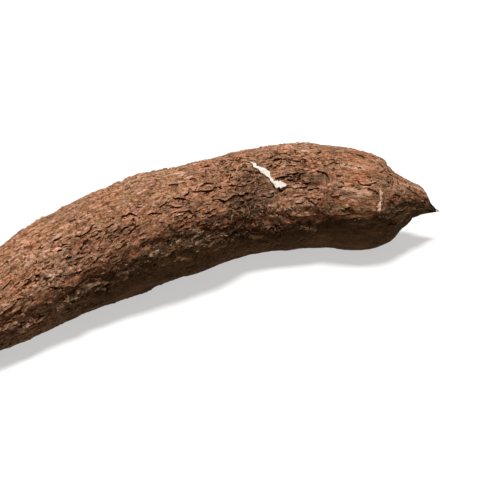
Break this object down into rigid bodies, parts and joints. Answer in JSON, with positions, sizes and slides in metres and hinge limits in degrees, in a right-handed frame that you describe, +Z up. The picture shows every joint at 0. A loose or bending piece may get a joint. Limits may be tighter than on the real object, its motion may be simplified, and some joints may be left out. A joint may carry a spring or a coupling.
{
  "type": "cassava root",
  "caption": "Whole raw cassava root, bent along its length, with flaking brown bark, a short torn stalk end and a tapering tail.",
  "frame": {"origin": "on the plane that the root lies on, under the middle of its box", "axes": "+X along the root's longest extent towards its torn stalk end, +Y towards the outer side of its bend, +Z up"},
  "size_m": [0.3827, 0.1005, 0.0713],
  "materials": {
    "bark": "dull, flaking brown root bark with tan and reddish patches"
  },
  "bodies": {
    "root": {"cassava_root": "bark"}
  },
  "joints": []
}
